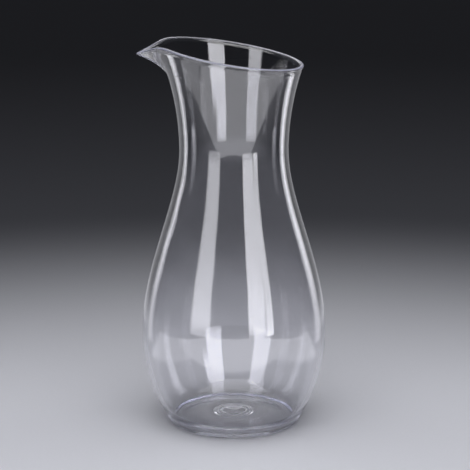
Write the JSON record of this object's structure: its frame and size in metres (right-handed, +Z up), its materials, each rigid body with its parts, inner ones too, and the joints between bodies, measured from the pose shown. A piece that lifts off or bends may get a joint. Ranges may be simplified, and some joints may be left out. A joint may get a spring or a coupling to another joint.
{
  "type": "pitcher",
  "caption": "Clear plastic carafe pitcher with a round belly, a narrow waist to hold it by and a flared, slanted mouth drawn out into a pouring beak.",
  "frame": {"origin": "on the turning axis, at the surface that the stand ring rests on", "axes": "+Z up along the turning axis, -X towards the pouring beak"},
  "size_m": [0.1092, 0.108, 0.2251],
  "materials": {
    "clear_plastic": "clear, polished by the mould"
  },
  "bodies": {
    "root": {"base": "clear_plastic", "body": "clear_plastic", "rim_and_spout": "clear_plastic"}
  },
  "joints": []
}
